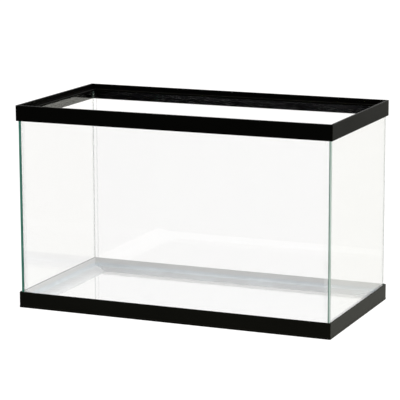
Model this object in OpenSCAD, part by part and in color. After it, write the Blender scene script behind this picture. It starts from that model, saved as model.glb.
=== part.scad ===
// Framed glass aquarium tank, open at the top.
//
// Four glass walls stand around a glass floor. Silicone joins every edge and is
// tooled into a concave bead inside every corner. A moulded plastic frame is bedded
// on the top edges and another one carries the bottom edges.
//
// Millimetres, +Z up. The origin is the centre of the footprint, on the surface that
// the tank stands on. X runs along the length, and Y runs from the front to the back.

/* [Overall size] */
// Length over the frames
tank_l = 514.35; // [300:0.05:900]
// Depth over the frames, front to back
tank_w = 266.7; // [200:0.05:450]
// Height over the frames
tank_h = 319.1; // [200:0.1:500]

/* [Glass] */
// Thickness of the four wall panes
wall_t = 3.2; // [3:0.1:4]
// Thickness of the floor pane
floor_t = 3.2; // [3:0.1:5]
// Distance from the frames' outer faces in to the glass
glass_inset = 3.175; // [3:0.025:4]

/* [Mouldings] */
// Wall thickness of both skirts
skirt_t = 2.2; // [1.6:0.1:2.4]
// Thickness of both ledges
ledge_t = 2; // [1.6:0.1:2.4]
// Radius of the upright outer corners
corner_r = 1.5; // [1.2:0.1:3]
// Chamfer along the exposed long edges
edge_c = 0.6; // [0.3:0.1:0.8]

/* [Top frame] */
// Height of the top frame
top_h = 24.4; // [20:0.1:36]
// Thickness of the rim above the lid ledge
rim_t = 3.6; // [2.4:0.1:4]
// Depth of the lid ledge below the rim
lid_drop = 7; // [5:0.5:9]
// Reach of the lid ledge, from the outer face
lid_reach = 12.7; // [12:0.1:18]
// Height of the lip under the ledge's inner edge, ledge included
lip_h = 3; // [2.6:0.1:4]
// Thickness of that lip
lip_t = 1.4; // [1:0.1:2]

/* [Bottom frame] */
// Height of the bottom frame
base_h = 25.2; // [20:0.1:36]
// Height of the ledge's upper face, which carries the glass
base_ledge_z = 8.6; // [5:0.1:11]
// Reach of that ledge, from the outer face
base_reach = 12.7; // [11.5:0.05:18]
// Height of the foot band along the bottom edge
foot_h = 3.2; // [2:0.1:4.5]
// Step from the foot band in to the skirt
foot_step = 0.3; // [0.2:0.1:0.4]
// Thickness of the gussets under the ledge
rib_t = 1.2; // [0.8:0.1:2]
// Largest spacing of the gussets
rib_pitch = 42; // [30:1:80]

/* [Silicone] */
// Joint between two glass edges
bond_t = 0.8; // [0.5:0.1:1]
// Bed between the glass edges and the ledges
bed_t = 0.5; // [0.3:0.1:0.8]
// Thickness of a bead where its fillet ends
film_t = 0.7; // [0.5:0.1:1]
// Thickness of a bead's outer edge
feather_t = 0.3; // [0.2:0.1:0.4]
// Fillet radius of the floor beads
floor_fillet_r = 5; // [3:0.5:6]
// Fillet radius of the upright beads
corner_fillet_r = 4; // [3:0.5:6]
// Leg of the front and right floor beads along the floor
floor_leg = 12; // [9:0.5:15]
// Leg of the back and left floor beads along the floor, smoothed out thin and wide
wide_floor_leg = 37; // [9:0.5:42]
// Leg of the front and right floor beads up the wall
low_leg = 9.5; // [7.5:0.5:14]
// Leg of the back and left floor beads up the wall
high_leg = 13.8; // [7.5:0.1:20]
// Both legs of the upright beads
corner_leg = 6.2; // [5.2:0.1:9]

/* [Hidden] */
$fn = 48;

// Turn about Z that carries something built on the front side to each side
FRONT = 0;
RIGHT = 90;
BACK = 180;
LEFT = 270;

// The glass box: outer and inner half sizes, bottom and top edges
glass_x = tank_l / 2 - glass_inset;
glass_y = tank_w / 2 - glass_inset;
inner_x = glass_x - wall_t;
inner_y = glass_y - wall_t;
glass_z = base_ledge_z + bed_t;
floor_z = glass_z + floor_t;
lid_ledge_z = tank_h - lid_drop;
glass_top = lid_ledge_z - ledge_t - bed_t;
wall_h = glass_top - glass_z;

// Where the beds and the upright beads end
bed_h = 7;
base_bed_reach = base_reach - 2;
bead_top = lid_ledge_z - lip_h - 0.5;

// Depth of the wedge that mitres one side of a ring against the next
mitre_d = 50;

glass_colour = [0.80, 0.90, 0.87, 0.35];
silicone_colour = [0.86, 0.89, 0.90, 0.80];
bed_colour = [0.12, 0.12, 0.125];
frame_colour = [0.08, 0.08, 0.085];

function half_run(side) = (side == FRONT || side == BACK) ? [tank_l, tank_w] / 2 : [tank_w, tank_l] / 2;
function inner_run(side) = (side == FRONT || side == BACK) ? [inner_x, inner_y] : [inner_y, inner_x];

// ---- shared shapes ----

// A block given by its lowest and highest corners
module block(low, high) {
    translate(low) cube(high - low);
}

// The child outline carried along X over the whole length, its x lying along +Y
module run_x(length) {
    rotate([90, 0, 90]) linear_extrude(length, center = true) children();
}

// One side of a ring, mitred at both ends; half = [half the run, distance to the centre]
module mitred_side(half, height) {
    intersection() {
        translate([0, -half[1], 0]) run_x(2 * half[0]) children();
        linear_extrude(height) polygon([
            [-half[0], -half[1]], [half[0], -half[1]],
            [half[0] - mitre_d, mitre_d - half[1]], [mitre_d - half[0], mitre_d - half[1]]
        ]);
    }
}

// Rounded rectangle in plan, centred
module rounded_plan(length, width, r) {
    square([length - 2 * r, width], center = true);
    square([length, width - 2 * r], center = true);
    for (sx = [-1, 1], sy = [-1, 1])
        translate([sx * (length / 2 - r), sy * (width / 2 - r)]) circle(r = r);
}

// A closed ring over the whole footprint with the child outline as its section
module frame_ring(height) {
    intersection() {
        linear_extrude(height) rounded_plan(tank_l, tank_w, corner_r);
        union() {
            for (side = [FRONT, RIGHT, BACK, LEFT])
                rotate([0, 0, side]) mitred_side(half_run(side), height) children();
        }
    }
}

// A rectangular ring in plan: between two insets from the outer faces
module ring_plan(outset, inset) {
    difference() {
        square([tank_l - 2 * outset, tank_w - 2 * outset], center = true);
        square([tank_l - 2 * inset, tank_w - 2 * inset], center = true);
    }
}

// Section of a tooled bead: two thin legs and a concave fillet between them
module bead_section(along, up, r) {
    difference() {
        polygon([
            [0, 0], [along, 0], [along, feather_t], [film_t + r, film_t],
            [film_t, film_t + r], [feather_t, up], [0, up]
        ]);
        translate([film_t + r, film_t + r]) circle(r = r);
    }
}

// ---- glass ----

// A full-width wall: side is FRONT or BACK
module long_pane(side) {
    color(glass_colour)
        rotate([0, 0, side])
            block([-glass_x, -glass_y, glass_z], [glass_x, -inner_y, glass_top]);
}

// An end wall, held between the two long ones: sx is -1 at the left and 1 at the right
module end_pane(sx) {
    half = inner_y - bond_t;
    mid_x = sx * (glass_x + inner_x) / 2;
    color(glass_colour)
        block([mid_x - wall_t / 2, -half, glass_z], [mid_x + wall_t / 2, half, glass_top]);
}

module floor_pane() {
    half = [inner_x - bond_t, inner_y - bond_t];
    color(glass_colour)
        block([-half[0], -half[1], glass_z], [half[0], half[1], floor_z]);
}

// ---- mouldings ----

// Section of the top frame, x in from the outer face and y up from the skirt's edge
module top_section() {
    ledge_y = top_h - lid_drop;
    polygon([
        [edge_c, 0], [skirt_t, 0],
        [skirt_t, ledge_y - ledge_t], [lid_reach - lip_t, ledge_y - ledge_t],
        [lid_reach - lip_t, ledge_y - lip_h], [lid_reach, ledge_y - lip_h],
        [lid_reach, ledge_y - edge_c], [lid_reach - edge_c, ledge_y],
        [rim_t, ledge_y], [rim_t, top_h - edge_c], [rim_t - edge_c, top_h],
        [edge_c, top_h], [0, top_h - edge_c], [0, edge_c]
    ]);
}

module top_frame() {
    color(frame_colour)
        translate([0, 0, tank_h - top_h]) frame_ring(top_h) top_section();
}

// Section of the bottom frame, x in from the outer face and y up from the stand
module base_section() {
    polygon([
        [edge_c, 0], [skirt_t, 0],
        [skirt_t, base_ledge_z - ledge_t], [base_reach, base_ledge_z - ledge_t],
        [base_reach, base_ledge_z], [skirt_t, base_ledge_z], [skirt_t, base_h],
        [foot_step + edge_c, base_h], [foot_step, base_h - edge_c],
        [foot_step, foot_h + foot_step], [0, foot_h], [0, edge_c]
    ]);
}

// A gusset that stiffens the ledge from below
module gusset() {
    rib_foot = 0.8;
    rib_tip = 1;
    under = base_ledge_z - ledge_t;
    rotate([90, 0, 90]) linear_extrude(rib_t, center = true) polygon([
        [skirt_t - 0.4, rib_foot], [skirt_t - 0.4, under + 0.4],
        [base_reach - rib_tip, under + 0.4], [base_reach - rib_tip, under - rib_tip]
    ]);
}

// The gussets along one side, evenly spaced and clear of the corners
module gusset_row(half) {
    free = 2 * (half[0] - base_reach) - 2 * rib_t;
    gaps = ceil(free / rib_pitch);
    for (i = [0 : gaps])
        translate([free * (i / gaps - 0.5), -half[1], 0]) gusset();
}

module bottom_frame() {
    color(frame_colour) union() {
        frame_ring(base_h) base_section();
        for (side = [FRONT, RIGHT, BACK, LEFT])
            rotate([0, 0, side]) gusset_row(half_run(side));
    }
}

// ---- silicone ----

// Bed of the top frame: over the walls' top edges and down their outer faces
module top_frame_bed() {
    color(bed_colour) union() {
        translate([0, 0, glass_top])
            linear_extrude(bed_t) ring_plan(skirt_t, glass_inset + wall_t);
        translate([0, 0, glass_top - bed_h])
            linear_extrude(bed_h) ring_plan(skirt_t, glass_inset);
    }
}

// Bed of the bottom frame: under the glass and up the walls' outer faces
module bottom_frame_bed() {
    color(bed_colour) union() {
        translate([0, 0, base_ledge_z])
            linear_extrude(bed_t) ring_plan(skirt_t, base_bed_reach);
        translate([0, 0, glass_z])
            linear_extrude(bed_h) ring_plan(skirt_t, glass_inset);
    }
}

// The joint between an end pane's edge and a long pane
module edge_bond(sx, sy) {
    mid = [sx * (inner_x + wall_t / 2), sy * (inner_y - bond_t / 2)];
    color(silicone_colour)
        block([mid[0] - wall_t / 2, mid[1] - bond_t / 2, glass_z],
              [mid[0] + wall_t / 2, mid[1] + bond_t / 2, glass_top]);
}

// The joint all round the floor pane's edges
module floor_bond() {
    wall = glass_inset + wall_t;
    color(silicone_colour)
        translate([0, 0, glass_z])
            linear_extrude(floor_t) ring_plan(wall, wall + bond_t);
}

// The solid of an upright bead, in the corner where x has the sign sx and y the sign sy
module corner_bead(sx, sy) {
    mirror([sx > 0 ? 1 : 0, 0, 0]) mirror([0, sy > 0 ? 1 : 0, 0])
        translate([-inner_x, -inner_y, floor_z])
            linear_extrude(bead_top - floor_z)
                bead_section(corner_leg, corner_leg, corner_fillet_r);
}

module corner_seal(sx, sy) {
    color(silicone_colour) corner_bead(sx, sy);
}

// A bead along one side of the floor, mitred at its ends and cut to the upright beads
module floor_seal(side, wall_leg, along) {
    half = inner_run(side);
    color(silicone_colour) difference() {
        rotate([0, 0, side])
            translate([0, 0, floor_z])
                mitred_side(half, high_leg + 1)
                    bead_section(along, wall_leg, floor_fillet_r);
        for (sx = [-1, 1], sy = [-1, 1])
            corner_bead(sx, sy);
    }
}

long_pane(FRONT);  // front_pane
long_pane(BACK);  // back_pane
end_pane(-1);  // left_pane
end_pane(1);  // right_pane
floor_pane();
top_frame();
bottom_frame();
top_frame_bed();
bottom_frame_bed();
edge_bond(-1, -1);  // edge_bond_front_left
edge_bond(1, -1);  // edge_bond_front_right
edge_bond(-1, 1);  // edge_bond_back_left
edge_bond(1, 1);  // edge_bond_back_right
floor_bond();
corner_seal(-1, -1);  // corner_seal_front_left
corner_seal(1, -1);  // corner_seal_front_right
corner_seal(-1, 1);  // corner_seal_back_left
corner_seal(1, 1);  // corner_seal_back_right
floor_seal(FRONT, low_leg, floor_leg);  // floor_seal_front
floor_seal(BACK, high_leg, wide_floor_leg);  // floor_seal_back
floor_seal(LEFT, high_leg, wide_floor_leg);  // floor_seal_left
floor_seal(RIGHT, low_leg, floor_leg);  // floor_seal_right
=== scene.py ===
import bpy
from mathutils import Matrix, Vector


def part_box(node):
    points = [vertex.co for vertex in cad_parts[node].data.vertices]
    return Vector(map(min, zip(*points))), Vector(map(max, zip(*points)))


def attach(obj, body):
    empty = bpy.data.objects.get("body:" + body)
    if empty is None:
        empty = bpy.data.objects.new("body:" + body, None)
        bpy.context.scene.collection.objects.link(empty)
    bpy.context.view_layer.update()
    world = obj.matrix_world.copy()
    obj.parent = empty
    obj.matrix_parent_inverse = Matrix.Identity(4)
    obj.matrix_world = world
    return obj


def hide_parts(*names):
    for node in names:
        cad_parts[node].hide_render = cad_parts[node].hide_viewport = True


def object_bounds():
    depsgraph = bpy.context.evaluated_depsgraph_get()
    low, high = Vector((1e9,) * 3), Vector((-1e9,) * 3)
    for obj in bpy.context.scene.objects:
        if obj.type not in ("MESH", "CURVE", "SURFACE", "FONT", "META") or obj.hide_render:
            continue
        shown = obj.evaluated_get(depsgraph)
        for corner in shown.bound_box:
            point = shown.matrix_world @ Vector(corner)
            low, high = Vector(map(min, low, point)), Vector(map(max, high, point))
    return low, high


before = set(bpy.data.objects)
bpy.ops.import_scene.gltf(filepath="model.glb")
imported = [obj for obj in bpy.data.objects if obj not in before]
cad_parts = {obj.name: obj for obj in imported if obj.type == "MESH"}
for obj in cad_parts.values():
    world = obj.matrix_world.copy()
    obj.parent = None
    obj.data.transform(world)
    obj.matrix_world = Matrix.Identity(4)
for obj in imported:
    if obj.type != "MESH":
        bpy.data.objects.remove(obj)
CAD_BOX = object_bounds()

"""Looks of a framed glass aquarium tank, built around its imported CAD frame.

Every size is in metres. X runs along the tank, Y from front to back and Z up, and the
tank stands on z = 0. Sections are drawn as (inset, height): how far in from the outer
face a point lies, and how high.
"""

import logging
import math
from dataclasses import dataclass, field
from enum import Enum
from typing import ClassVar

import bpy
import numpy as np
from mathutils import Matrix, Vector

LOG = logging.getLogger("aquarium")
MM = 0.001
Colour = tuple[float, float, float]


class Slot(Enum):
    """The record's material slots."""

    WALL_GLASS = "wall_glass"
    FLOOR_GLASS = "floor_glass"
    FRAME_PLASTIC = "frame_plastic"
    SEAL_SILICONE = "seal_silicone"
    BOND_SILICONE = "bond_silicone"
    BED_SILICONE = "bed_silicone"


class Side(Enum):
    """A side of the tank, as the quarter turns about Z that carry the front to it."""

    FRONT = 0
    RIGHT = 1
    BACK = 2
    LEFT = 3

    @property
    def node(self) -> str:
        """The side's word in node names."""
        return self.name.lower()

    @property
    def along_x(self) -> bool:
        """True for the two long sides."""
        return self.value % 2 == 0

    def turn(self, points: np.ndarray) -> np.ndarray:
        """Turns points built on the front side to this side.

        Args:
            points: Points as rows of x, y, z.

        Returns:
            The points turned about Z by the side's quarter turns.
        """
        cosine, sine = [(1, 0), (0, 1), (-1, 0), (0, -1)][self.value]
        x, y, z = np.moveaxis(points, -1, 0)
        return np.stack([cosine * x - sine * y, sine * x + cosine * y, z], axis=-1)


class Corner(Enum):
    """An upright corner, as the signs of its x and y."""

    FRONT_LEFT = (-1, -1)
    FRONT_RIGHT = (1, -1)
    BACK_LEFT = (-1, 1)
    BACK_RIGHT = (1, 1)

    @property
    def node(self) -> str:
        """The corner's words in node names."""
        return self.name.lower()


# ---- surfaces ----


@dataclass
class Skin:
    """A closed surface on its way to being a mesh.

    Attributes:
        points: Vertex positions, one row each.
        faces: Lists of vertex numbers.
        marks: Numbers kept at each vertex, by attribute name.
        finish_of_face: Material index of each face, or None where all are 0.
        smooth: True to shade the faces smoothly.
        caps: How many of the last faces are end caps, which are always shaded flat.
    """

    points: np.ndarray
    faces: list[list[int]]
    marks: dict[str, np.ndarray] = field(default_factory=dict)
    finish_of_face: list[int] | None = None
    smooth: bool = True
    caps: int = 0

    def volume(self) -> float:
        """Signed volume: the sum over fan triangles of a . (b x c) / 6."""
        fans = [[f[0], f[i], f[i + 1]] for f in self.faces for i in range(1, len(f) - 1)]
        a, b, c = np.moveaxis(self.points[np.array(fans)], 1, 0)
        return float(np.einsum("ij,ij->", a, np.cross(b, c))) / 6

    def build(self, name: str, materials: list[bpy.types.Material]) -> bpy.types.Object:
        """Makes the mesh object, with its faces turned outwards.

        Args:
            name: Name of the piece.
            materials: Materials in the order of the face indices.

        Returns:
            The object, at the origin, linked to the scene.
        """
        faces = self.faces
        if self.volume() < 0:
            faces = [list(reversed(f)) for f in faces]
        mesh = bpy.data.meshes.new(name)
        mesh.from_pydata(self.points.tolist(), [], faces)
        for mark, numbers in self.marks.items():
            layer = mesh.attributes.new(mark, "FLOAT", "POINT")
            layer.data.foreach_set("value", numbers.astype(np.float32).ravel())
        for material in materials:
            mesh.materials.append(material)
        if self.finish_of_face is not None:
            mesh.polygons.foreach_set("material_index", self.finish_of_face)
        shading = [self.smooth] * (len(faces) - self.caps) + [False] * self.caps
        mesh.polygons.foreach_set("use_smooth", shading)
        mesh.update()
        piece = bpy.data.objects.new(name, mesh)
        bpy.context.scene.collection.objects.link(piece)
        return piece


def joined(skins: list[Skin]) -> Skin:
    """One skin that holds several separate closed ones.

    Args:
        skins: Skins with the same marks.

    Returns:
        Their points and faces together.
    """
    starts = np.cumsum([0] + [len(s.points) for s in skins[:-1]])
    faces = [[v + int(start) for v in f] for s, start in zip(skins, starts) for f in s.faces]
    marks = {m: np.concatenate([s.marks[m] for s in skins]) for m in skins[0].marks}
    points = np.concatenate([s.points for s in skins])
    return Skin(points, faces, marks, smooth=skins[0].smooth)


def loft(grid: np.ndarray, marks: dict[str, np.ndarray], closed_path: bool) -> Skin:
    """Joins a closed section, repeated along a path, into a closed surface.

    Args:
        grid: Points by section position, path position and coordinate.
        marks: Numbers by section position and path position.
        closed_path: True where the path's end meets its start. An open path is capped at
            both ends by a fan about the mean of its end section.

    Returns:
        The surface of quads between neighbouring points.
    """
    rows, columns = grid.shape[:2]
    number = np.arange(rows * columns).reshape(rows, columns)
    right = np.roll(number, -1, axis=1)
    corners = [number, np.roll(number, -1, axis=0), np.roll(right, -1, axis=0), right]
    quads = np.stack(corners, axis=-1)
    quads = quads if closed_path else quads[:, :-1]
    faces = quads.reshape(-1, 4).tolist()
    points = grid.reshape(-1, 3)
    flat = {name: numbers.reshape(-1) for name, numbers in marks.items()}
    caps = 0 if closed_path else 2 * rows
    if not closed_path:
        poles = np.stack([grid[:, 0].mean(axis=0), grid[:, -1].mean(axis=0)])
        points = np.concatenate([points, poles])
        ends = {name: numbers[:, [0, -1]].mean(axis=0) for name, numbers in marks.items()}
        flat = {name: np.concatenate([numbers, ends[name]]) for name, numbers in flat.items()}
        first, last = rows * columns, rows * columns + 1
        start, stop = number[:, 0], number[:, -1]
        fan_start = np.stack([np.roll(start, -1), start, np.full(rows, first)], axis=1)
        fan_stop = np.stack([stop, np.roll(stop, -1), np.full(rows, last)], axis=1)
        faces += fan_start.tolist() + fan_stop.tolist()
    return Skin(points, faces, flat, caps=caps)


def rounded_section(
    corners: list[tuple[float, float]], radii: list[float], steps: int = 5, hold: float = 0.12 * MM
) -> tuple[np.ndarray, np.ndarray]:
    """Rounds every corner of a closed polygon with an arc tangent to both its sides.

    The arc's centre lies on the corner's bisector, radius / sin(half the angle) away, and
    its points turn evenly from one tangent point to the other. A holding point just
    outside each tangent point keeps smooth shading off the flat sides.

    Args:
        corners: The polygon's corners in turn, anticlockwise.
        radii: The radius at each corner.
        steps: Points on each arc.
        hold: Distance from an arc's end to its holding point.

    Returns:
        The rounded outline's points, and a mark that is 1 on the outward arcs.
    """
    c = np.array(corners)
    r = np.array(radii)[:, None]
    to_last = np.roll(c, 1, axis=0) - c
    to_next = np.roll(c, -1, axis=0) - c
    a = to_last / np.linalg.norm(to_last, axis=1, keepdims=True)
    b = to_next / np.linalg.norm(to_next, axis=1, keepdims=True)
    half = np.arccos(np.clip((a * b).sum(axis=1, keepdims=True), -1, 1)) / 2
    bisector = (a + b) / np.linalg.norm(a + b, axis=1, keepdims=True)
    centre = c + bisector * r / np.sin(half)
    start, stop = c + a * r / np.tan(half), c + b * r / np.tan(half)
    turn = (math.pi - 2 * half)[:, None]
    s = np.linspace(0, 1, steps)[None, :, None]
    from_start = np.sin((1 - s) * turn) * (start - centre)[:, None]
    from_stop = np.sin(s * turn) * (stop - centre)[:, None]
    arc = centre[:, None] + (from_start + from_stop) / np.sin(turn)
    outline = np.concatenate([(start + a * hold)[:, None], arc, (stop + b * hold)[:, None]], axis=1)
    outward = (b[:, 0] * a[:, 1] - b[:, 1] * a[:, 0]) > 0
    mark = np.zeros(outline.shape[:2])
    mark[outward, 1:-1] = 1
    return outline.reshape(-1, 2), mark.reshape(-1)


def ring(
    half: tuple[float, float], section: np.ndarray, mark: np.ndarray, corner_r: float, steps: int = 7
) -> Skin:
    """Carries a closed section round a rounded rectangle.

    A point of the section at inset u follows a rectangle u smaller on every side, whose
    corner radius is the outer one less u, and at least a small inner radius.

    Args:
        half: Half the outer length and width.
        section: Points as inset and height.
        mark: The edge mark of each point of the section, which makes the plastic's edges paler: rubbed
            plastic and a painted sheen.
        corner_r: Radius of the outer corners in plan.
        steps: Points on each corner's arc.

    Returns:
        The closed ring.
    """
    least_r, hold = 0.3 * MM, 0.3 * MM
    inset, height = section[:, 0], section[:, 1]
    r = np.maximum(corner_r - inset, least_r)[:, None, None]
    quarter = np.arange(4)[:, None] * math.pi / 2
    angle = quarter + np.linspace(0, math.pi / 2, steps)[None]
    angle = np.concatenate([angle[:, :1], angle, angle[:, -1:]], axis=1)
    shift = np.zeros(angle.shape)
    shift[:, 0], shift[:, -1] = -hold, hold
    sign_x = np.array([1, -1, -1, 1])[:, None]
    sign_y = np.array([1, 1, -1, -1])[:, None]
    centre_x = sign_x * (half[0] - inset[:, None, None] - r)
    centre_y = sign_y * (half[1] - inset[:, None, None] - r)
    x = centre_x + r * np.cos(angle) - shift * np.sin(angle)
    y = centre_y + r * np.sin(angle) + shift * np.cos(angle)
    x, y = x.reshape(len(inset), -1), y.reshape(len(inset), -1)
    z = np.broadcast_to(height[:, None], x.shape)
    edge = np.broadcast_to(mark[:, None], x.shape)
    return loft(np.stack([x, y, z], axis=-1), {"edge": edge}, closed_path=True)


def slab(low: Vector, high: Vector, arris: float) -> Skin:
    """A pane: a flat slab whose every edge has a ground arris.

    Six nested outlines run from the middle of one broad face, over the arris, across the
    thickness and back to the middle of the other broad face. The first and the last are
    single points. Faces between the broad faces' rims take the second material.

    Args:
        low: Lowest corner.
        high: Highest corner.
        arris: Width of the ground arris along each edge.

    Returns:
        The closed slab, with flat shading.
    """
    low, high = np.array(low), np.array(high)
    thin = int(np.argmin(high - low))
    wide = [i for i in range(3) if i != thin]
    middle, half = (low + high) / 2, (high - low) / 2
    signs = np.array([[-1, -1], [1, -1], [1, 1], [-1, 1]])
    cut = np.array([arris, 0, 0, arris])[:, None, None]
    depth = np.array([-1, -1, 1, 1]) * half[thin] + np.array([0, 1, -1, 0]) * arris
    rings = np.zeros((4, 4, 3))
    rings[:, :, wide] = middle[wide] + signs[None] * (half[wide] - cut)
    rings[:, :, thin] = (middle[thin] + depth)[:, None]
    poles = np.stack([middle, middle])
    poles[:, thin] += np.array([-1, 1]) * half[thin]
    number = np.arange(16).reshape(4, 4)
    after = np.roll(number, -1, axis=1)
    band = np.stack([number[:-1], number[1:], after[1:], after[:-1]], axis=-1).reshape(-1, 4)
    near = np.stack([number[0], after[0], np.full(4, 16)], axis=1)
    far = np.stack([after[-1], number[-1], np.full(4, 17)], axis=1)
    faces = band.tolist() + near.tolist() + far.tolist()
    points = np.concatenate([rings.reshape(-1, 3), poles])
    return Skin(points, faces, {}, [1] * len(band) + [0] * 8, smooth=False)


def waver(position: np.ndarray, lengths: list[float], seed: int) -> np.ndarray:
    """A hand's unsteadiness along a bead, from about -1 to 1.

    It is the mean of sines with the given wavelengths, each with its own seeded phase.

    Args:
        position: Distances along the bead.
        lengths: Wavelengths.
        seed: Seed of the phases.

    Returns:
        The waver at each position.
    """
    phase = np.random.default_rng(seed).uniform(0, 2 * math.pi, len(lengths))
    turns = 2 * math.pi * position[:, None] / np.array(lengths)[None]
    return np.sin(turns + phase).mean(axis=1) * math.sqrt(2)


def eased(x: np.ndarray) -> np.ndarray:
    """Smooth step from 0 to 1: 3 x squared less 2 x cubed, with x held from 0 to 1."""
    x = np.clip(x, 0, 1)
    return x * x * (3 - 2 * x)


# ---- shading ----


class Shade:
    """A value socket that Python's arithmetic works on."""

    def __init__(self, graph: "Graph", socket: bpy.types.NodeSocket) -> None:
        """Wraps a socket of a graph."""
        self.graph = graph
        self.socket = socket

    def _math(self, operation: str, *values: "Shade | float") -> "Shade":
        """A Math node on the values, in order."""
        node = self.graph.node("ShaderNodeMath", {"operation": operation}, dict(enumerate(values)))
        return Shade(self.graph, node.outputs[0])

    def __add__(self, other: "Shade | float") -> "Shade":
        """The sum."""
        return self._math("ADD", self, other)

    __radd__ = __add__

    def __mul__(self, other: "Shade | float") -> "Shade":
        """The product."""
        return self._math("MULTIPLY", self, other)

    __rmul__ = __mul__

    def __sub__(self, other: "Shade | float") -> "Shade":
        """The difference."""
        return self._math("SUBTRACT", self, other)

    def __rsub__(self, other: float) -> "Shade":
        """The difference from a number."""
        return self._math("SUBTRACT", other, self)

    def ramp(self, low: float, high: float) -> "Shade":
        """A smooth step that is 0 at low and 1 at high."""
        inputs = {0: self, 1: low, 2: high, 3: 0.0, 4: 1.0}
        node = self.graph.node("ShaderNodeMapRange", {"interpolation_type": "SMOOTHSTEP"}, inputs)
        return Shade(self.graph, node.outputs[0])


Value = Shade | bpy.types.NodeSocket | float | tuple


class Graph:
    """A node tree under construction."""

    def __init__(self, owner: bpy.types.ID) -> None:
        """Empties the node tree of a material or world."""
        owner.use_nodes = True
        self.tree = owner.node_tree
        self.tree.nodes.clear()

    def node(self, kind: str, settings: dict | None = None, inputs: dict | None = None) -> bpy.types.Node:
        """Adds a node.

        Args:
            kind: The node's type.
            settings: Its settings by name, set first.
            inputs: A number, colour or link for each input, by name or place.

        Returns:
            The node.
        """
        node = self.tree.nodes.new(kind)
        for name, value in (settings or {}).items():
            setattr(node, name, value)
        for name, value in (inputs or {}).items():
            self.feed(node.inputs[name], value)
        return node

    def feed(self, socket: bpy.types.NodeSocket, value: Value) -> None:
        """Links a socket to another or sets its value."""
        value = value.socket if isinstance(value, Shade) else value
        if isinstance(value, bpy.types.NodeSocket):
            self.tree.links.new(value, socket)
        elif isinstance(value, tuple) and len(value) == 3 and socket.type == "RGBA":
            socket.default_value = (*value, 1.0)
        else:
            socket.default_value = value

    def place(self, stretch: Colour = (1, 1, 1)) -> bpy.types.NodeSocket:
        """Object coordinates, stretched along each axis."""
        source = self.node("ShaderNodeTexCoord").outputs["Object"]
        return self.node("ShaderNodeMapping", {}, {"Vector": source, "Scale": stretch}).outputs[0]

    def noise(self, size: float, detail: float = 2, stretch: Colour = (1, 1, 1)) -> Shade:
        """Noise from 0 to 1.

        Args:
            size: Size of its features in metres.
            detail: Finer octaves.
            stretch: Scale along each axis, where less than 1 draws the features out.

        Returns:
            The noise.
        """
        inputs = {"Vector": self.place(stretch), "Scale": 1 / size, "Detail": detail, "Roughness": 0.55}
        return Shade(self, self.node("ShaderNodeTexNoise", {}, inputs).outputs[0])

    def mark(self, name: str) -> Shade:
        """A number kept at the piece's vertices."""
        return Shade(self, self.node("ShaderNodeAttribute", {"attribute_name": name}).outputs["Fac"])

    def inner_face(self) -> Shade:
        """1 where a face is met from behind, as from within the glass."""
        return Shade(self, self.node("ShaderNodeNewGeometry").outputs["Backfacing"])

    def mix(self, factor: Value, first: Value, second: Value) -> bpy.types.NodeSocket:
        """A colour between two colours."""
        settings = {"data_type": "RGBA", "clamp_factor": True}
        node = self.node("ShaderNodeMix", settings, {0: factor, 6: first, 7: second})
        return node.outputs[2]

    def bump(self, height: Shade, depth: float) -> bpy.types.NodeSocket:
        """A normal that follows a height from 0 to 1, over a depth in metres."""
        inputs = {"Height": height, "Distance": depth, "Strength": 1.0}
        return self.node("ShaderNodeBump", {}, inputs).outputs[0]

    def shader(self, inputs: dict[str, Value]) -> bpy.types.NodeSocket:
        """A Principled surface with the given inputs."""
        return self.node("ShaderNodeBsdfPrincipled", {}, inputs).outputs[0]

    def output(self, surface: bpy.types.NodeSocket) -> None:
        """Ends the graph in a material output."""
        self.node("ShaderNodeOutputMaterial", {}, {"Surface": surface})


@dataclass(frozen=True)
class Finish:
    """Base of the finishes: a name and a way to make the material."""

    name: str

    def paint(self, graph: Graph) -> None:
        """Fills the material's graph."""
        raise NotImplementedError

    def material(self) -> bpy.types.Material:
        """The finish's material, made once."""
        found = bpy.data.materials.get(self.name)
        if found is None:
            found = bpy.data.materials.new(self.name)
            self.paint(Graph(found))
        return found


@dataclass(frozen=True)
class FloatGlass(Finish):
    """Clear float glass: wiped clean, faintly green.

    Attributes:
        tint: Colour of light that has passed one face.
        haze: Roughness of the most smeared patches.
    """

    tint: Colour = (0.9965, 0.9985, 0.9975)
    haze: float = 0.012

    def paint(self, graph: Graph) -> None:
        """Smooth glass whose roughness drifts with faint wiping smears."""
        smear = graph.noise(70 * MM, 3, (0.35, 0.35, 1.0)).ramp(0.50, 0.80)
        inputs = {
            "Base Color": self.tint,
            "Roughness": smear * self.haze,
            "IOR": 1.52,
            "Transmission Weight": 1.0,
        }
        graph.output(graph.shader(inputs))


@dataclass(frozen=True)
class GroundEdge(Finish):
    """A pane's ground edge with a painted green glow, which stands in for the light that the whole pane
    gathers to its edge.

    Attributes:
        outside: Colour of the painted glow that the edge gives off, met from outside.
        inside: Colour of the painted glow of the edge met from within the glass.
        cover: How much of the edge is seen, where the rest shows what is behind it.
    """

    outside: Colour = (0.13, 0.25, 0.20)
    inside: Colour = (0.60, 0.70, 0.66)
    cover: float = 1.0

    def paint(self, graph: Graph) -> None:
        """Satin ground glass with fine streaks along the grinding, and a painted glow."""
        streak = graph.noise(1.2 * MM, 3, (1.0, 1.0, 0.08))
        cloud = graph.noise(25 * MM, 2)
        shade = (streak * 0.35 + cloud * 0.5 + 0.1).ramp(0.1, 0.9)
        # Painted glow: the edge's emitted colour, dimmed in places by the streak and cloud noise.
        dull = tuple(0.72 * c for c in self.outside)
        glow = graph.mix(shade, dull, self.outside)
        inputs = {
            "Base Color": graph.mix(shade, (0.015, 0.05, 0.04), (0.03, 0.09, 0.07)),
            "Roughness": streak * 0.25 + 0.30,
            "IOR": 1.52,
            # The emission is painted light: one glow seen from outside, another from within the glass.
            "Emission Color": graph.mix(graph.inner_face(), glow, self.inside),
            "Emission Strength": 1.0,
            "Alpha": self.cover,
            "Normal": graph.bump(streak, 0.03 * MM),
        }
        graph.output(graph.shader(inputs))


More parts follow.
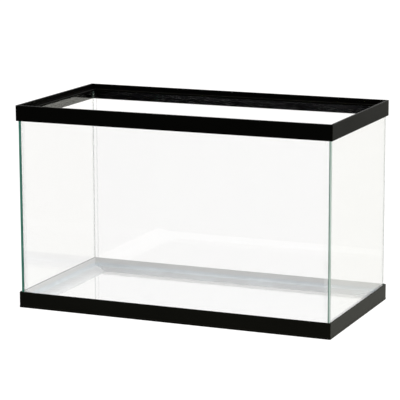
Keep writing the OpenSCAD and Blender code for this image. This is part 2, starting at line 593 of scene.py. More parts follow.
@dataclass(frozen=True)
class MouldedPlastic(Finish):
    """Black moulded polystyrene with a fine satin grain.

    Attributes:
        black: Colour of the plastic.
        worn_and_sheen: Colour along handled edges, paler from rubbing and as a painted sheen.
        rough: Roughness of the flat faces.
        shine: Strength of its reflections.
        warmth: Colour of its reflections.
    """

    black: Colour = (0.0030, 0.0030, 0.0032)
    worn_and_sheen: Colour = (0.012, 0.012, 0.0115)
    rough: float = 0.31
    shine: float = 0.5
    warmth: Colour = (1.0, 1.0, 0.2)

    def paint(self, graph: Graph) -> None:
        """Grain, flow marks, and smoother, paler edges that are partly rubbed plastic and partly a
        painted sheen.
        """
        grain = graph.noise(0.45 * MM, 3)
        flow = graph.noise(22 * MM, 3, (0.25, 0.25, 1.0))
        scuff = graph.noise(2.5 * MM, 4, (0.3, 0.3, 1.0)).ramp(0.55, 0.75)
        # Painted sheen as well as rubbing: the edges are paler in colour along the edge mark.
        wear_and_sheen = graph.mark("edge") * (graph.noise(9 * MM, 3).ramp(0.25, 0.75) * 0.6 + 0.4)
        body = graph.mix(flow, self.black, tuple(1.5 * c for c in self.black))
        body = graph.mix(scuff * 0.35, body, tuple(2.4 * c for c in self.black))
        inputs = {
            "Base Color": graph.mix(wear_and_sheen, body, self.worn_and_sheen),
            "Roughness": flow * 0.08 + scuff * 0.06 + self.rough - wear_and_sheen * 0.10,
            "Specular IOR Level": self.shine,
            "Specular Tint": self.warmth,
            "Normal": graph.bump(grain * 0.8 + flow * 0.6, 0.018 * MM),
        }
        graph.output(graph.shader(inputs))


@dataclass(frozen=True)
class MilkySilicone(Finish):
    """Tooled silicone on the floor joints, cloudy with a wet gloss, with a painted glow and a painted
    sheen on the fillet.

    Attributes:
        film: Colour of the thin leg on the wall.
        fillet: Colour of the full fillet, paler and bluer than the legs as a painted sheen.
        tail: Colour of the thin leg on the floor.
        glow: Strength of its painted glow: emission in its own colour that stands in for light coming
            through from behind.
    """

    film: Colour = (0.59, 0.59, 0.585)
    fillet: Colour = (0.58, 0.61, 0.63)
    tail: Colour = (0.64, 0.645, 0.65)
    glow: float = 0.36

    def paint(self, graph: Graph) -> None:
        """Colour by the place across the bead, with streaks drawn along it, a painted sheen on the fillet
        and a painted glow.
        """
        across = graph.mark("across")
        streak = graph.noise(3 * MM, 3, (0.12, 0.12, 1.0))
        cloud = graph.noise(35 * MM, 3)
        into_fillet = (across + streak * 0.05).ramp(0.44, 0.56)
        into_tail = (across + streak * 0.06).ramp(0.70, 0.80)
        tone = graph.mix(into_fillet, self.film, self.fillet)
        tone = graph.mix(into_tail, tone, self.tail)
        # Painted sheen: pale cloudy patches on the fillet.
        pale = tuple(min(1.0, 1.18 * c) for c in self.fillet)
        tone = graph.mix(cloud.ramp(0.45, 0.75) * into_fillet * 0.6, tone, pale)
        inputs = {
            "Base Color": tone,
            # Painted glow: the bead gives off its own colour as light.
            "Emission Color": tone,
            "Emission Strength": self.glow,
            "Roughness": cloud * 0.14 + 0.14,
            "IOR": 1.41,
            "Coat Weight": into_fillet * 0.6 + 0.2,
            "Coat Roughness": 0.08,
            "Alpha": 1.0 - graph.mark("fade") * 0.85,
            "Normal": graph.bump(streak * 0.7 + cloud * 0.6, 0.25 * MM),
        }
        graph.output(graph.shader(inputs))


@dataclass(frozen=True)
class ClearSilicone(Finish):
    """Tooled silicone in the upright corners, where it is thin enough to look clear.

    Attributes:
        cover: How much of it is seen.
    """

    cover: float = 0.12

    def paint(self, graph: Graph) -> None:
        """A soft clear body with a slightly uneven surface."""
        lump = graph.noise(6 * MM, 3, (1.0, 1.0, 0.25))
        inputs = {
            "Base Color": (0.96, 0.97, 0.965),
            "Roughness": lump * 0.12 + 0.06,
            "IOR": 1.41,
            "Transmission Weight": 1.0,
            "Alpha": self.cover,
            "Normal": graph.bump(lump, 0.12 * MM),
        }
        graph.output(graph.shader(inputs))


@dataclass(frozen=True)
class PressedBond(Finish):
    """Silicone pressed thin between two panes, dark with the glass's green, and given a painted green
    glow.

    Attributes:
        deep: Colour of its painted glow where the joint is thin.
        pale: Colour of its painted glow at small voids, a painted highlight.
        cover: How much of the joint is seen.
    """

    deep: Colour = (0.055, 0.175, 0.130)
    pale: Colour = (0.10, 0.24, 0.19)
    cover: float = 1.0

    def paint(self, graph: Graph) -> None:
        """A joint with a painted glow, paler at cloudy, drawn-out voids."""
        voids = graph.noise(14 * MM, 4, (1.0, 1.0, 0.35)).ramp(0.35, 0.75)
        tone = graph.mix(voids, self.deep, self.pale)
        inputs = {
            "Base Color": graph.mix(voids, (0.01, 0.035, 0.027), (0.02, 0.05, 0.04)),
            "Roughness": voids * 0.2 + 0.25,
            "IOR": 1.41,
            # Painted glow: the joint gives off its colour as light.
            "Emission Color": tone,
            "Emission Strength": 1.0,
            "Alpha": self.cover,
        }
        graph.output(graph.shader(inputs))


@dataclass(frozen=True)
class BlackSilicone(Finish):
    """The black silicone that beds the glass in both frames."""

    def paint(self, graph: Graph) -> None:
        """Dark rubber with skips where it was smeared."""
        smear = graph.noise(6 * MM, 3, (0.4, 0.4, 1.0))
        inputs = {
            "Base Color": graph.mix(smear, (0.004, 0.004, 0.0042), (0.010, 0.010, 0.0105)),
            "Roughness": smear * 0.25 + 0.30,
            "IOR": 1.41,
            "Normal": graph.bump(smear, 0.15 * MM),
        }
        graph.output(graph.shader(inputs))


# ---- the tank's own sizes ----


@dataclass
class Plan:
    """The faces that the pieces are placed from, read from the CAD frame.

    Attributes:
        half: Half the tank's length and width over the frames.
        wall: Distance from the centre to the inner faces of the walls, in x and y.
        floor_z: Upper face of the floor pane.
    """

    half: tuple[float, float]
    wall: tuple[float, float]
    floor_z: float

    @classmethod
    def from_frame(cls) -> "Plan":
        """Reads the plan from the boxes of the CAD nodes."""
        low, high = CAD_BOX
        return cls(
            half=((high.x - low.x) / 2, (high.y - low.y) / 2),
            wall=(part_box("right_pane")[0].x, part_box("back_pane")[0].y),
            floor_z=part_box("floor_pane")[1].z,
        )


def install(piece: bpy.types.Object, slot: Slot, *nodes: str) -> None:
    """Makes a finished piece part of the tank.

    Args:
        piece: The piece.
        slot: The material slot it stands for, which is only logged.
        nodes: The CAD nodes it stands for.
    """
    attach(piece, "root")
    if nodes:
        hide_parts(*nodes)
    LOG.info("%s: %d faces, %s", piece.name, len(piece.data.polygons), slot.value)


# ---- sub-assemblies ----


@dataclass
class GlassBox:
    """The five panes.

    Attributes:
        arris: Width of the ground arris.
        relief: How far each face stays inside its CAD solid, so that panes never touch.
        glass: Finish of the broad faces.
        end_edge: Finish of the end panes' edges, which lie against the long panes.
        front_edge: Finish of the front pane's edges.
        back_edge: Finish of the back pane's edges.
        floor_edge: Finish of the floor pane's edges.
    """

    arris: float = 0.35 * MM
    relief: float = 0.02 * MM
    glass: Finish = FloatGlass("float_glass")
    # Each pane's edge has its own strength of painted glow, set by where the pane stands: painted light,
    # not a difference in the glass.
    end_edge: Finish = GroundEdge("end_pane_edge", (0.11, 0.16, 0.14), (0.11, 0.16, 0.14), 0.10)
    front_edge: Finish = GroundEdge("front_pane_edge", (0.50, 0.58, 0.53), (0.045, 0.150, 0.112))
    back_edge: Finish = GroundEdge("back_pane_edge", (0.20, 0.25, 0.21), (0.20, 0.25, 0.21), 0.15)
    floor_edge: Finish = GroundEdge("floor_pane_edge", (0.16, 0.27, 0.22), (0.45, 0.55, 0.50))

    def pane(self, node: str, edge: Finish, slot: Slot) -> None:
        """Builds the pane of a CAD node.

        Args:
            node: The CAD node.
            edge: Finish of its ground edges.
            slot: Its material slot.
        """
        low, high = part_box(node)
        inward = Vector((self.relief,) * 3)
        skin = slab(low + inward, high - inward, self.arris)
        piece = skin.build(f"{node}_glass", [self.glass.material(), edge.material()])
        install(piece, slot, node)

    def build(self) -> None:
        """Builds the five panes."""
        edges = {"front": self.front_edge, "back": self.back_edge, "left": self.end_edge,
                 "right": self.end_edge}
        for wall, edge in edges.items():
            self.pane(f"{wall}_pane", edge, Slot.WALL_GLASS)
        self.pane("floor_pane", self.floor_edge, Slot.FLOOR_GLASS)



def install_ring(name: str, node: str, slot: Slot, finish: Finish, skin: Skin) -> None:
    """Builds a ring in one finish and makes it stand for its CAD node."""
    install(skin.build(name, [finish.material()]), slot, node)


@dataclass
class TopFrame:
    """The moulded frame round the top edges, and the silicone it is bedded in.

    Attributes:
        skirt_t: Thickness of the skirt.
        rim_t: Thickness of the rim above the lid ledge.
        lid_drop: Depth of the lid ledge below the rim.
        lid_reach: Reach of the lid ledge from the outer face.
        ledge_t: Thickness of the ledge.
        lip_h: Height of the lip under the ledge's inner edge, ledge included.
        lip_t: Thickness of that lip.
        corner_r: Radius of the upright corners.
        plastic: Finish of the moulding.
        bed: Finish of the silicone bed.
    """

    skirt_t: float = 2.2 * MM
    rim_t: float = 3.6 * MM
    lid_drop: float = 7.0 * MM
    lid_reach: float = 12.7 * MM
    ledge_t: float = 2.0 * MM
    lip_h: float = 3.0 * MM
    lip_t: float = 1.4 * MM
    corner_r: float = 1.5 * MM
    plastic: Finish = MouldedPlastic(
        "top_plastic", (0.0011, 0.0011, 0.0012), (0.009, 0.009, 0.0085), shine=0.020)
    bed: Finish = BlackSilicone("bedding_silicone")

    def moulding(self, plan: Plan) -> Skin:
        """The ring: skirt, lip, ledge and rim, with every edge rounded."""
        low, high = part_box("top_frame")
        ledge = high.z - self.lid_drop
        under = ledge - self.ledge_t
        lip = self.lid_reach - self.lip_t
        corners = [
            (0, low.z), (self.skirt_t, low.z), (self.skirt_t, under), (lip, under),
            (lip, ledge - self.lip_h), (self.lid_reach, ledge - self.lip_h),
            (self.lid_reach, ledge), (self.rim_t, ledge), (self.rim_t, high.z), (0, high.z),
        ]
        radii = [r * MM for r in (0.6, 0.3, 0.4, 0.3, 0.3, 0.3, 0.6, 0.5, 0.55, 0.8)]
        section, mark = rounded_section(corners, radii)
        return ring(plan.half, section, mark, self.corner_r)

    def bedding(self, plan: Plan) -> Skin:
        """The bed: over the walls' top edges and down their outer faces."""
        low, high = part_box("top_frame_bed")
        glass_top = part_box("front_pane")[1].z
        outer = plan.half[1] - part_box("back_pane")[1].y
        inner = plan.half[1] - plan.wall[1]
        slack = 0.03 * MM
        corners = [
            (self.skirt_t + slack, low.z), (outer - slack, low.z),
            (outer - slack, glass_top + slack), (inner, glass_top + slack),
            (inner, high.z - slack), (self.skirt_t + slack, high.z - slack),
        ]
        radii = [r * MM for r in (0.3, 0.3, 0.1, 0.15, 0.15, 0.1)]
        section, mark = rounded_section(corners, radii, 4, 0.04 * MM)
        return ring(plan.half, section, mark * 0, 0)

    def build(self, plan: Plan) -> None:
        """Builds the moulding and its bed."""
        moulding, bedding = self.moulding(plan), self.bedding(plan)
        install_ring("top_frame_moulding", "top_frame", Slot.FRAME_PLASTIC, self.plastic, moulding)
        install_ring("top_frame_bedding", "top_frame_bed", Slot.BED_SILICONE, self.bed, bedding)


@dataclass
class BottomFrame:
    """The moulded frame round the bottom edges, its gussets and its silicone bed.

    Attributes:
        skirt_t: Thickness of the skirt.
        ledge_z: Height of the ledge's upper face.
        ledge_t: Thickness of the ledge.
        reach: Reach of the ledge from the outer face.
        foot_h: Height of the foot band.
        foot_step: Step from the foot band in to the skirt.
        corner_r: Radius of the upright corners.
        rib_t: Thickness of a gusset.
        rib_pitch: Largest spacing of the gussets.
        plastic: Finish of the moulding.
        bed: Finish of the silicone bed.
    """

    skirt_t: float = 2.2 * MM
    ledge_z: float = 8.6 * MM
    ledge_t: float = 2.0 * MM
    reach: float = 12.7 * MM
    foot_h: float = 3.2 * MM
    foot_step: float = 0.3 * MM
    corner_r: float = 1.5 * MM
    rib_t: float = 1.2 * MM
    rib_pitch: float = 42 * MM
    plastic: Finish = MouldedPlastic("bottom_plastic", shine=0.075)
    bed: Finish = BlackSilicone("bedding_silicone")

    def moulding(self, plan: Plan) -> Skin:
        """The ring: foot band, ledge and skirt, with every edge rounded."""
        low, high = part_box("bottom_frame")
        under = self.ledge_z - self.ledge_t
        corners = [
            (0, low.z), (self.skirt_t, low.z), (self.skirt_t, under), (self.reach, under),
            (self.reach, self.ledge_z), (self.skirt_t, self.ledge_z), (self.skirt_t, high.z),
            (self.foot_step, high.z), (self.foot_step, self.foot_h + self.foot_step), (0, self.foot_h),
        ]
        radii = [r * MM for r in (0.7, 0.4, 0.4, 0.5, 0.5, 0.3, 0.5, 0.8, 0.3, 0.3)]
        section, mark = rounded_section(corners, radii)
        return ring(plan.half, section, mark, self.corner_r)

    def gusset(self, at: float, side: Side, plan: Plan) -> Skin:
        """One gusset: a rounded triangle under the ledge, as thick as a rib.

        Args:
            at: Its place along the side.
            side: The side it stands on.
            plan: The tank's plan.

        Returns:
            The gusset, tapered a little towards its free edge.
        """
        under = self.ledge_z - self.ledge_t
        sunk, tip = 0.3 * MM, 1.0 * MM
        corners = [
            (self.skirt_t - sunk, 0.8 * MM), (self.reach - tip, under - tip),
            (self.reach - tip, under + sunk), (self.skirt_t - sunk, under + sunk),
        ]
        section, _ = rounded_section(corners, [0.3 * MM] * 4, 3, 0.1 * MM)
        span = np.array([-0.5, -0.4, 0.4, 0.5]) * self.rib_t
        taper = np.array([0.15, 0.0, 0.0, 0.15]) * MM
        distance = plan.half[1] if side.along_x else plan.half[0]
        shape = (len(section), len(span))
        x = np.broadcast_to(at + span, shape)
        y = np.broadcast_to(section[:, :1] - distance, shape)
        z = section[:, 1:] + taper * (section[:, 1:] < under / 2)
        points = side.turn(np.stack([x, y, z], axis=-1))
        return loft(points, {"edge": np.zeros(shape)}, closed_path=False)

    def gussets(self, plan: Plan) -> Skin:
        """Every gusset, evenly spaced along the four sides."""
        skins = []
        for side in Side:
            half = plan.half[0] if side.along_x else plan.half[1]
            free = 2 * (half - self.reach) - 2 * self.rib_t
            gaps = math.ceil(free / self.rib_pitch)
            places = free * (np.arange(gaps + 1) / gaps - 0.5)
            skins += [self.gusset(float(at), side, plan) for at in places]
        return joined(skins)

    def bedding(self, plan: Plan) -> Skin:
        """The bed: under the glass and up the walls' outer faces."""
        low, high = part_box("bottom_frame_bed")
        glass_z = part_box("front_pane")[0].z
        outer = plan.half[1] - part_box("back_pane")[1].y
        slack = 0.03 * MM
        inner = self.reach - 2 * MM
        corners = [
            (self.skirt_t + slack, low.z + slack), (inner, low.z + slack), (inner, glass_z - slack),
            (outer - slack, glass_z - slack), (outer - slack, high.z), (self.skirt_t + slack, high.z),
        ]
        radii = [r * MM for r in (0.1, 0.15, 0.15, 0.1, 0.3, 0.3)]
        section, mark = rounded_section(corners, radii, 4, 0.04 * MM)
        return ring(plan.half, section, mark * 0, 0)

    def build(self, plan: Plan) -> None:
        """Builds the moulding, its gussets and its bed."""
        moulding, bedding = self.moulding(plan), self.bedding(plan)
        install_ring("bottom_frame_moulding", "bottom_frame", Slot.FRAME_PLASTIC, self.plastic, moulding)
        piece = self.gussets(plan).build("bottom_frame_gussets", [self.plastic.material()])
        install(piece, Slot.FRAME_PLASTIC)
        install_ring("bottom_frame_bedding", "bottom_frame_bed", Slot.BED_SILICONE, self.bed, bedding)


@dataclass
class BeadShape:
    """The section of a hand-tooled bead along its run.

    Attributes:
        wall_leg: Leg up the wall at each place along the run.
        floor_leg: Leg along the floor at each place.
        radius: Radius of the concave fillet at each place.
        film: Thickness of the legs where the fillet ends, at each place.
        feather: Thickness of the legs' outer ends.
        gap: Distance kept from the glass.
    """

    wall_leg: np.ndarray
    floor_leg: np.ndarray
    radius: np.ndarray
    film: np.ndarray
    feather: float = 0.3 * MM
    gap: float = 0.02 * MM

    def leg(self, length: np.ndarray, t: np.ndarray) -> tuple[np.ndarray, np.ndarray]:
        """A leg from its outer end to where the fillet begins.

        The thickness grows evenly from the feather to the film, and the outer end is
        rounded as a quarter circle.

        Args:
            length: The leg's length at each place along the run.
            t: Positions from 0 at the outer end to 1 at the fillet, as a column.

        Returns:
            Distance from the bead's root and thickness, by position and place.
        """
        reach = length - (length - self.film - self.radius) * t
        grown = np.clip((length - reach) / self.feather, 0, 1)
        thick = (self.feather + (self.film - self.feather) * t) * np.sqrt(1 - (1 - grown) ** 2)
        return reach, thick

    def outline(self) -> tuple[np.ndarray, np.ndarray, np.ndarray]:
        """The closed section at each place: wall leg, fillet, floor leg and back.

        Between the legs the surface is a quarter circle hollowed into the corner, whose
        centre stands one film and one radius out from both the wall and the floor.

        Returns:
            Distance from the wall, height above the floor, and a mark that runs from 0 at
            the wall leg's end to 1 at the floor leg's end, each by position and place.
        """
        ends = np.array([0.0, 0.006, 0.015, 0.03, 0.06, 0.2, 0.45, 0.7, 0.9])[:, None]
        up, wall_thick = self.leg(self.wall_leg[None], ends)
        out, floor_thick = self.leg(self.floor_leg[None], ends[::-1])
        bend = np.linspace(0, math.pi / 2, 13)[:, None]
        arc_u = self.film + self.radius * (1 - np.cos(bend))
        arc_v = self.film + self.radius * (1 - np.sin(bend))
        back_u = np.concatenate([self.floor_leg[None] * 0.5, self.film[None] * 0, self.film[None] * 0])
        back_v = np.concatenate([self.film[None] * 0, self.film[None] * 0, self.wall_leg[None] * 0.5])
        u = np.concatenate([wall_thick, arc_u, out, back_u]) + self.gap
        v = np.concatenate([up, arc_v, floor_thick, back_v]) + self.gap
        across = np.concatenate([
            np.linspace(0, 0.45, len(ends)), np.linspace(0.47, 0.73, len(bend)),
            np.linspace(0.75, 1.0, len(ends)), [0.9, 0.6, 0.2],
        ])
        return u, v, np.broadcast_to(across[:, None], u.shape)


@dataclass
class Seals:
    """The tooled beads: four round the floor and four up the corners.

    Attributes:
        fillet_r: Fillet radius of the floor beads.
        corner_fillet_r: Fillet radius of the upright beads.
        film: Thickness of the beads' legs.
        low_leg: Leg of the front and right floor beads up the wall.
        high_leg: Leg of the back and left floor beads up the wall.
        floor_leg: Leg of the front and right floor beads along the floor.
        wide_floor_leg: Leg of the back and left floor beads along the floor.
        corner_leg: Both legs of the upright beads.
        step: Spacing of the rings along a bead.
        floor_finishes: Finish of each floor bead.
        corner_finish: Finish of the upright beads.
        LONG_AT: Whether a bead's legs are long at its start, middle and end.
    """

    LONG_AT: ClassVar[dict[Side, tuple[int, int, int]]] = {
        Side.FRONT: (1, 0, 0), Side.RIGHT: (0, 0, 1), Side.BACK: (1, 1, 1), Side.LEFT: (1, 1, 1),
    }
    fillet_r: float = 5.0 * MM
    corner_fillet_r: float = 4.0 * MM
    film: float = 0.7 * MM
    low_leg: float = 9.5 * MM
    high_leg: float = 13.8 * MM
    floor_leg: float = 12.0 * MM
    wide_floor_leg: float = 36.0 * MM
    corner_leg: float = 6.2 * MM
    step: float = 3.0 * MM
    floor_finishes: dict[Side, Finish] = field(default_factory=lambda: {
        Side.FRONT: MilkySilicone("front_silicone"),
        Side.RIGHT: MilkySilicone("right_silicone"),
        Side.BACK: MilkySilicone("back_silicone"),
        # The left bead has a stronger painted glow than the others: painted light on that side only.
        Side.LEFT: MilkySilicone("left_silicone", glow=0.50),
    })
    corner_finish: Finish = ClearSilicone("corner_silicone")

    def leg(self, side: Side, x: np.ndarray, half: float, over: float, legs: tuple) -> np.ndarray:
        """A leg along a side: long at the back and left, and eased into its neighbours'.

        Args:
            side: The side.
            x: Places along it.
            half: Half its length.
            over: Length at each end in which it changes.
            legs: The short leg and the long one.

        Returns:
            The leg at each place.
        """
        start, middle, stop = self.LONG_AT[side]
        near, far = eased((half + x) / over), eased((half - x) / over)
        share = middle + (start - middle) * (1 - near) + (stop - middle) * (1 - far)
        return legs[0] + (legs[1] - legs[0]) * share

    def floor_bead(self, side: Side, plan: Plan) -> Skin:
        """A bead along one side of the floor, mitred where it meets the next.

        Args:
            side: The side.
            plan: The tank's plan.

        Returns:
            The bead, whose legs, fillet and film waver as a hand does.
        """
        run, distance = plan.wall if side.along_x else plan.wall[::-1]
        count = int(2 * run / self.step)
        share = np.linspace(-1, 1, count)
        x = share * run
        seed = 10 * side.value
        steady = 1 - np.abs(share) ** 12
        wave = waver(x, [170 * MM, 61 * MM, 23 * MM], seed + 1) * steady
        other = waver(x, [120 * MM, 47 * MM, 17 * MM], seed + 2) * steady
        shape = BeadShape(
            wall_leg=self.leg(side, x, run, 30 * MM, (self.low_leg, self.high_leg)),
            floor_leg=self.leg(side, x, run, 45 * MM, (self.floor_leg, self.wide_floor_leg))
            + 0.7 * MM * other,
            radius=self.fillet_r + 0.5 * MM * wave,
            film=self.film + 0.12 * MM * other,
        )
        u, v, across = shape.outline()
        points = np.stack([share * (run - u), u - distance, v + plan.floor_z], axis=-1)
        marks = {
            "across": across,
            "fade": np.clip((across - 0.86) / 0.14, 0, 1),
        }
        return loft(side.turn(points), marks, closed_path=False)

    def corner_bead(self, corner: Corner, plan: Plan) -> Skin:
        """An upright bead in one corner.

        Args:
            corner: The corner.
            plan: The tank's plan.

        Returns:
            The bead, from the floor pane to just under the top frame.
        """
        low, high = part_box(f"corner_seal_{corner.node}")
        count = int((high.z - low.z) / self.step)
        z = np.linspace(low.z, high.z, count)
        seed = 100 + 7 * list(Corner).index(corner)
        wave = waver(z, [130 * MM, 41 * MM, 19 * MM], seed)
        other = waver(z, [90 * MM, 33 * MM, 15 * MM], seed + 1)
        shape = BeadShape(
            wall_leg=self.corner_leg + 0.5 * MM * wave,
            floor_leg=self.corner_leg + 0.5 * MM * other,
            radius=self.corner_fillet_r + 0.25 * MM * wave,
            film=self.film + 0.08 * MM * other,
        )
        u, v, across = shape.outline()
        sign_x, sign_y = corner.value
        x, y = sign_x * (plan.wall[0] - u), sign_y * (plan.wall[1] - v)
        points = np.stack([x, y, np.broadcast_to(z, x.shape)], axis=-1)
        return loft(points, {}, closed_path=False)

    def build(self, plan: Plan) -> None:
        """Builds the eight beads."""
        for side in Side:
            piece = self.floor_bead(side, plan).build(
                f"floor_bead_{side.node}", [self.floor_finishes[side].material()])
            install(piece, Slot.SEAL_SILICONE, f"floor_seal_{side.node}")
        for corner in Corner:
            piece = self.corner_bead(corner, plan).build(
                f"corner_bead_{corner.node}", [self.corner_finish.material()])
            install(piece, Slot.SEAL_SILICONE, f"corner_seal_{corner.node}")


@dataclass
class Bonds:
    """The silicone pressed between the panes' edges.

    Attributes:
        sink: How far the joint's outer face is drawn in.
        step: Spacing of the rings along a joint.
        finishes: Finish of each upright joint.
        floor_finish: Finish of the joint round the floor.
    """

    sink: float = 0.25 * MM
    step: float = 4.0 * MM
    # Each joint's painted glow is set by its corner: deep green at the front left, pale at the front
    # right and round the floor, dim and mostly clear at the back. This is painted light, not a difference
    # in the silicone.
    finishes: dict[Corner, Finish] = field(default_factory=lambda: {
        Corner.FRONT_LEFT: PressedBond("front_left_bond", (0.030, 0.120, 0.088), (0.055, 0.170, 0.130)),
        Corner.FRONT_RIGHT: PressedBond("front_right_bond", (0.18, 0.25, 0.21), (0.25, 0.32, 0.28)),
        Corner.BACK_LEFT: PressedBond("back_left_bond", (0.06, 0.10, 0.09), (0.12, 0.17, 0.15), 0.2),
        Corner.BACK_RIGHT: PressedBond("back_right_bond", (0.06, 0.10, 0.08), (0.12, 0.17, 0.14), 0.2),
    })
    floor_finish: Finish = PressedBond("floor_bond", (0.19, 0.26, 0.22), (0.26, 0.34, 0.29))

    def edge_bond(self, corner: Corner) -> Skin:
        """The joint at one upright corner, with a slightly hollow outer face.

        Args:
            corner: The corner.

        Returns:
            A bar whose outer face wavers in and out by the sink.
        """
        low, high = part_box(f"edge_bond_{corner.node}")
        gap = 0.03 * MM
        sign_x = corner.value[0]
        outer, inner = (high.x, low.x) if sign_x > 0 else (low.x, high.x)
        count = int((high.z - low.z) / self.step)
        z = np.linspace(low.z, high.z, count)
        seed = 300 + list(Corner).index(corner)
        drawn = self.sink * (1 + 0.6 * waver(z, [60 * MM, 21 * MM, 9 * MM], seed))
        y = np.array([low.y + gap, (low.y + high.y) / 2, high.y - gap])
        hollow = np.array([0.2, 1.0, 0.2])[:, None] * drawn
        outer_x = outer - sign_x * hollow
        inner_x = np.full((3, count), inner)
        x = np.concatenate([outer_x, inner_x])
        y = np.broadcast_to(np.concatenate([y, y[::-1]])[:, None], x.shape)
        points = np.stack([x, y, np.broadcast_to(z, x.shape)], axis=-1)
        return loft(points, {}, closed_path=False)

    def floor_bond(self, plan: Plan) -> Skin:
        """The joint all round the floor pane's edges."""
        low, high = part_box("floor_bond")
        gap = 0.03 * MM
        start = plan.half[0] - high.x + gap
        stop = plan.half[0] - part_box("floor_pane")[1].x - gap
        corners = [(start, low.z), (stop, low.z), (stop, high.z), (start, high.z)]
        section, mark = rounded_section(corners, [0.12 * MM] * 4, 3, 0.04 * MM)
        return ring(plan.half, section, mark * 0, 0)

    def build(self, plan: Plan) -> None:
        """Builds the four upright joints and the one round the floor."""
        for corner in Corner:
            skin = self.edge_bond(corner)
            skin.smooth = False
            piece = skin.build(f"edge_joint_{corner.node}", [self.finishes[corner].material()])
            install(piece, Slot.BOND_SILICONE, f"edge_bond_{corner.node}")
        piece = self.floor_bond(plan).build("floor_joint", [self.floor_finish.material()])
        install(piece, Slot.BOND_SILICONE, "floor_bond")


# ---- studio ----


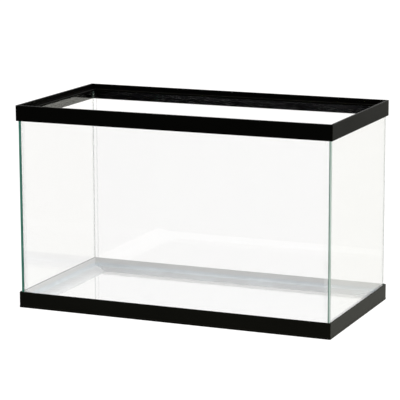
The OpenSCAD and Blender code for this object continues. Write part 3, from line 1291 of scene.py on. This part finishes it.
@dataclass
class Studio:
    """Floor, light and camera.

    Attributes:
        reach: Half the floor's size.
        drop: How far the floor lies below the tank.
        glow: The floor's brightness, the same all over.
        paper: The floor's colour.
        sky: Light from all round.
        beyond: Colour of the room's pale wall, as mirrors reflect it.
        pale_wall: Which way that wall lies, as x and y.
        window_side: What mirrors that face the right and the back reflect.
        dark_side: What mirrors that face the front reflect.
        ceiling: What mirrors that face up reflect.
        lens: Focal length in millimetres, on a 36 mm sensor.
        eye: The camera's place.
        yaw, pitch, roll: The camera's aim in degrees: to the left of +Y, down, and tilt.
    """

    reach: float = 60.0
    drop: float = 0.3 * MM
    glow: float = 1.127
    paper: Colour = (1.0, 0.992, 0.988)
    sky: Colour = (1.1, 1.1, 1.1)
    beyond: Colour = (1.02, 1.02, 1.02)
    pale_wall: tuple[float, float] = (-0.39, 0.92)
    window_side: Colour = (0.80, 0.80, 0.735)
    dark_side: Colour = (0.020, 0.020, 0.023)
    ceiling: Colour = (0.25, 0.25, 0.25)
    lens: float = 177.397
    eye: tuple[float, float, float] = (1.1742, -2.77695, 0.7628)
    yaw: float = 23.031
    pitch: float = 11.201
    roll: float = -0.189

    def mirrored(self, graph: Graph) -> Shade:
        """1 for light that reaches the eye by way of any mirror reflection, else 0."""
        return Shade(graph, graph.node("ShaderNodeLightPath").outputs["Glossy Depth"]).ramp(0, 1)

    def floor(self) -> None:
        """A wide floor, lit evenly, that mirror reflections pass by."""
        corner = self.reach
        mesh = bpy.data.meshes.new("studio_floor")
        points = [(x * corner, y * corner, -self.drop) for x, y in ((-1, -1), (1, -1), (1, 1), (-1, 1))]
        mesh.from_pydata(points, [], [(0, 1, 2, 3)])
        floor = bpy.data.objects.new("studio_floor", mesh)
        bpy.context.scene.collection.objects.link(floor)
        paper = bpy.data.materials.new("floor_paper")
        paper.cycles.emission_sampling = "NONE"
        graph = Graph(paper)
        lit = graph.node("ShaderNodeEmission", {}, {"Color": self.paper, "Strength": self.glow})
        clear = graph.node("ShaderNodeBsdfTransparent")
        inputs = {0: self.mirrored(graph), 1: lit.outputs[0], 2: clear.outputs[0]}
        graph.output(graph.node("ShaderNodeMixShader", {}, inputs).outputs[0])
        mesh.materials.append(paper)

    def surroundings(self) -> None:
        """Even white light, where mirrors see a fixed room that is dark towards the front."""
        world = bpy.data.worlds.new("studio")
        world.cycles.sampling_method = "NONE"
        bpy.context.scene.world = world
        graph = Graph(world)
        direction = graph.node("ShaderNodeTexCoord").outputs["Generated"]
        parts = graph.node("ShaderNodeSeparateXYZ", {}, {0: direction})
        x, y, z = (Shade(graph, s) for s in parts.outputs)
        far = (y * self.pale_wall[1] + x * self.pale_wall[0]).ramp(0.76, 0.93)
        to_window = (y * 0.5 + x).ramp(0.1, 0.7)
        overhead = z.ramp(0.35, 0.75)
        room = graph.mix(to_window, self.dark_side, self.window_side)
        room = graph.mix(overhead * 0.7, room, self.ceiling)
        room = graph.mix(far, room, self.beyond)
        colour = graph.mix(self.mirrored(graph), self.sky, room)
        shader = graph.node("ShaderNodeBackground", {}, {"Color": colour, "Strength": 1.0})
        graph.node("ShaderNodeOutputWorld", {}, {"Surface": shader.outputs[0]})

    def lamp(self, name: str, place: tuple, aim: tuple, size: tuple, power: float) -> None:
        """A soft rectangular lamp.

        Args:
            name: Its name.
            place: Where it hangs.
            aim: The point it faces.
            size: Its width and height.
            power: Its power in watts.
        """
        data = bpy.data.lights.new(name, "AREA")
        data.shape = "RECTANGLE"
        data.size, data.size_y = size
        data.energy = power
        lamp = bpy.data.objects.new(name, data)
        lamp.location = place
        lamp.rotation_euler = (Vector(aim) - Vector(place)).to_track_quat("-Z", "Y").to_euler()
        bpy.context.scene.collection.objects.link(lamp)

    def camera(self) -> None:
        """The camera, with its axes worked out from yaw, pitch and roll."""
        yaw, pitch, roll = (math.radians(a) for a in (self.yaw, self.pitch, self.roll))
        right = Vector((math.cos(yaw), math.sin(yaw), 0))
        level_ahead = Vector((-math.sin(yaw), math.cos(yaw), 0))
        ahead = level_ahead * math.cos(pitch) - Vector((0, 0, math.sin(pitch)))
        up = right.cross(ahead)
        level, tilt = math.cos(roll), math.sin(roll)
        axes = (level * right + tilt * up, level * up - tilt * right, -ahead)
        data = bpy.data.cameras.new("camera")
        data.lens = self.lens
        data.sensor_width = 36.0
        data.clip_start, data.clip_end = 0.1, 300.0
        camera = bpy.data.objects.new("camera", data)
        camera.matrix_world = Matrix.Translation(self.eye) @ Matrix(axes).transposed().to_4x4()
        bpy.context.scene.collection.objects.link(camera)
        bpy.context.scene.camera = camera

    def build(self) -> None:
        """Sets the whole studio up."""
        bpy.context.scene.view_settings.view_transform = "Standard"
        self.floor()
        self.surroundings()
        self.lamp("window", place=(1.6, 1.9, 2.4), aim=(0.1, 0.2, 0.0), size=(1.8, 1.4), power=42.0)
        self.lamp("ceiling", place=(-0.5, 0.3, 2.8), aim=(0.0, 0.0, 0.0), size=(2.2, 1.6), power=18.0)
        self.camera()


def main() -> None:
    """Builds every piece and the studio."""
    logging.basicConfig(level=logging.INFO, format="%(message)s")
    plan = Plan.from_frame()
    GlassBox().build()
    TopFrame().build(plan)
    BottomFrame().build(plan)
    Seals().build(plan)
    Bonds().build(plan)
    Studio().build()


if __name__ == "__main__":
    main()
